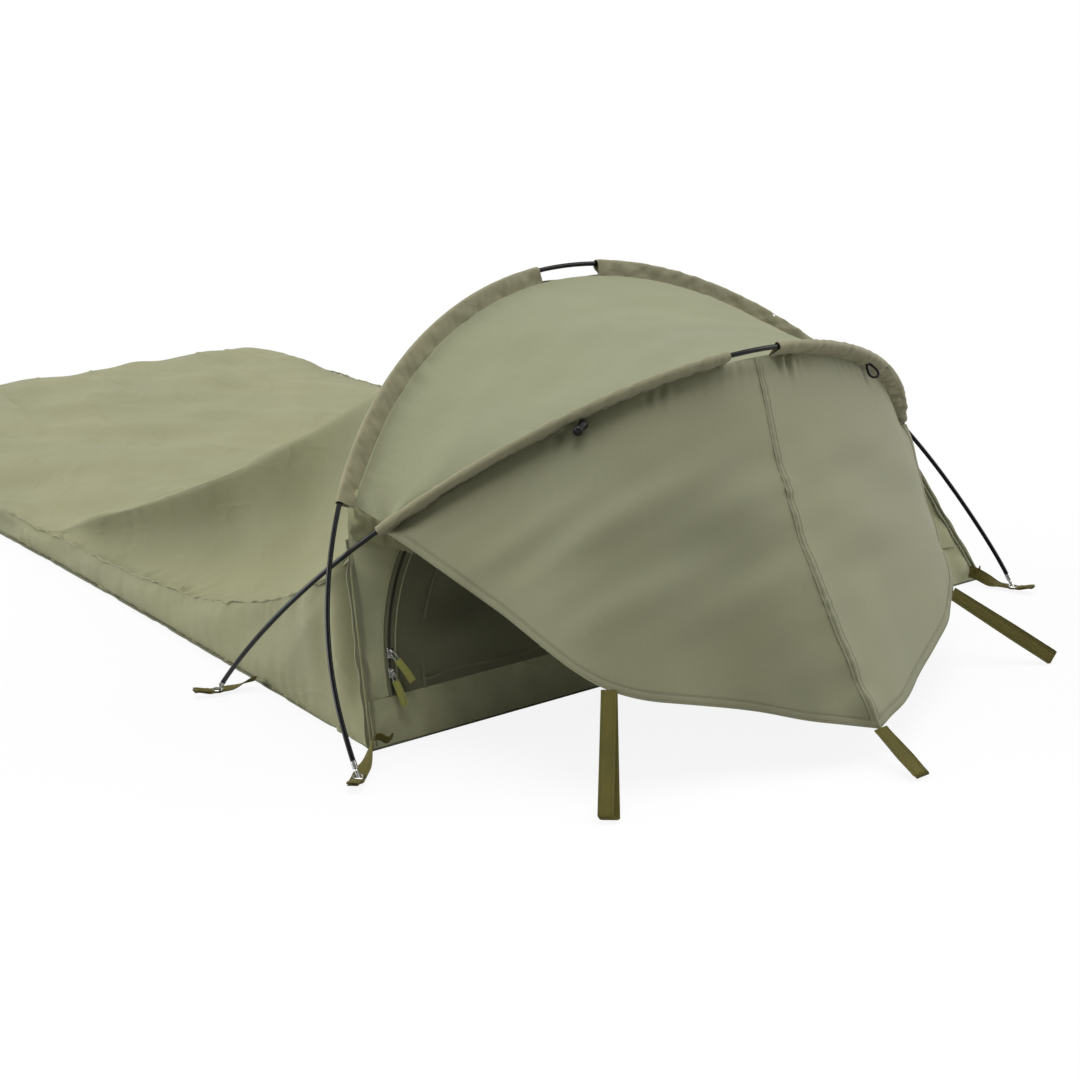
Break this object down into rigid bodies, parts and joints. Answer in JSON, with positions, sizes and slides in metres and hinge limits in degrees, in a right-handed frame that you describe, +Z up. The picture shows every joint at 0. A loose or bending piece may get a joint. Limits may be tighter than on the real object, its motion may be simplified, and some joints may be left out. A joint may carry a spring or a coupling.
{
  "type": "bivy sack",
  "caption": "One-person bivy sack: flat sleeping bag cover whose head end is raised by two crossing pole hoops, with a zipped door under a staked awning.",
  "frame": {"origin": "middle of the groundsheet's underside, on the ground", "axes": "+Z up, the head end and its awning face -Y, +X runs across the bag"},
  "size_m": [1.3935, 2.9046, 0.5686],
  "materials": {
    "canopy": "matt coated polyester, light sage olive",
    "bag": "soft matt laminate cloth, light khaki olive",
    "floor": "heavier coated groundsheet cloth, dark olive",
    "door": "matt cloth, olive",
    "tape": "folded and stitched cloth, olive",
    "webbing": "woven webbing, dark olive gold",
    "pole": "glossy black fibreglass",
    "metal": "nickel plated",
    "zipper": "coil zip on woven tape",
    "pull_tab": "woven ribbon, yellow green",
    "black_plastic": "moulded black plastic"
  },
  "bodies": {
    "bag": {"groundsheet": "floor", "side_panel_left": "bag", "side_panel_right": "bag", "top_cover": "bag", "rear_cover": "bag", "foot_panel": "bag", "head_wall": "door", "door_sill": "door", "door_zip": "zipper", "rear_pole_section_1": "pole", "rear_pole_section_2": "pole", "rear_pole_section_3": "pole", "rear_pole_ferrule_1": "metal", "rear_pole_ferrule_2": "metal", "rear_pole_tip_left": "metal", "rear_pole_tip_right": "metal", "rear_sleeve_left": "tape", "rear_sleeve_right": "tape", "canopy": "canopy", "rear_foot_strap_left": "webbing", "rear_grommet_left": "metal", "rear_foot_strap_right": "webbing", "rear_grommet_right": "metal", "front_foot_strap_left": "webbing", "front_grommet_left": "metal", "front_foot_strap_right": "webbing", "front_grommet_right": "metal"},
    "front_hoop": {"front_pole_section_1": "pole", "front_pole_section_2": "pole", "front_pole_section_3": "pole", "front_pole_ferrule_1": "metal", "front_pole_ferrule_2": "metal", "front_pole_tip_left": "metal", "front_pole_tip_right": "metal", "front_sleeve_left": "tape", "front_sleeve_right": "tape", "awning_left": "canopy", "awning_right": "canopy", "awning_seam_tape": "tape", "awning_hem_left": "tape", "awning_hem_right": "tape"},
    "door": {"door_flap": "door"},
    "slider_lower": {"zip_slider_lower": "metal"},
    "slider_upper": {"zip_slider_upper": "metal"},
    "tab_lower": {"pull_tab_lower": "pull_tab"},
    "tab_upper": {"pull_tab_upper": "pull_tab"},
    "stake_left": {"stake_loop_left": "webbing"},
    "stake_centre": {"stake_loop_centre": "webbing"},
    "stake_right": {"stake_loop_right": "webbing"},
    "toggle": {"rollup_toggle": "black_plastic"},
    "elastic": {"rollup_loop": "black_plastic"}
  },
  "joints": [
    {"name": "front_hoop_lean", "type": "hinge", "parent": "bag", "child": "front_hoop", "pos_m": [-0.036, -0.846, 0.006], "axis": [-1, 0, 0], "range_deg": [0, 3], "deforming": ["canopy"]},
    {"name": "door_drop", "type": "hinge", "parent": "bag", "child": "door", "pos_m": [-0.014, -1.1654, 0.06], "axis": [1, 0, 0], "range_deg": [0, 122], "deforming": ["door_flap"]},
    {"name": "upper_slider_run", "type": "slide", "parent": "bag", "child": "slider_upper", "axis": [0.2472, 0.3843, 0.8895], "range_m": [0, 0.05]},
    {"name": "lower_slider_run", "type": "slide", "parent": "bag", "child": "slider_lower", "axis": [0.1793, 0.3902, 0.9031], "range_m": [0, 0.05]},
    {"name": "upper_tab_swing", "type": "hinge", "parent": "slider_upper", "child": "tab_upper", "pos_m": [-0.5375, -1.1492, 0.1142], "axis": [-0.969, 0.098, 0.2269], "range_deg": [0, 80]},
    {"name": "lower_tab_swing", "type": "hinge", "parent": "slider_lower", "child": "tab_lower", "pos_m": [-0.5448, -1.1593, 0.0906], "axis": [-0.9838, 0.0711, 0.1646], "range_deg": [0, 80]},
    {"name": "left_stake_swing", "type": "hinge", "parent": "front_hoop", "child": "stake_left", "pos_m": [-0.426, -1.48, 0.13], "axis": [-0.7539, 0.657, 0], "range_deg": [0, 60]},
    {"name": "centre_stake_swing", "type": "hinge", "parent": "front_hoop", "child": "stake_centre", "pos_m": [-0.1, -1.635, 0.044], "axis": [-0.9958, 0.0919, 0], "range_deg": [0, 60]},
    {"name": "right_stake_swing", "type": "hinge", "parent": "front_hoop", "child": "stake_right", "pos_m": [0.27, -1.422, 0.1], "axis": [-0.7649, -0.6441, 0], "range_deg": [0, 60]},
    {"name": "toggle_swing", "type": "hinge", "parent": "front_hoop", "child": "toggle", "pos_m": [-0.3104, -1.2634, 0.421], "axis": [1, 0, 0], "range_deg": [-20, 20]},
    {"name": "elastic_swing", "type": "hinge", "parent": "front_hoop", "child": "elastic", "pos_m": [0.2296, -1.267, 0.4237], "axis": [1, 0, 0], "range_deg": [-20, 20]}
  ],
  "couplings": [
    {"joint": "lower_slider_run", "follows": "upper_slider_run", "ratio": 1}
  ]
}
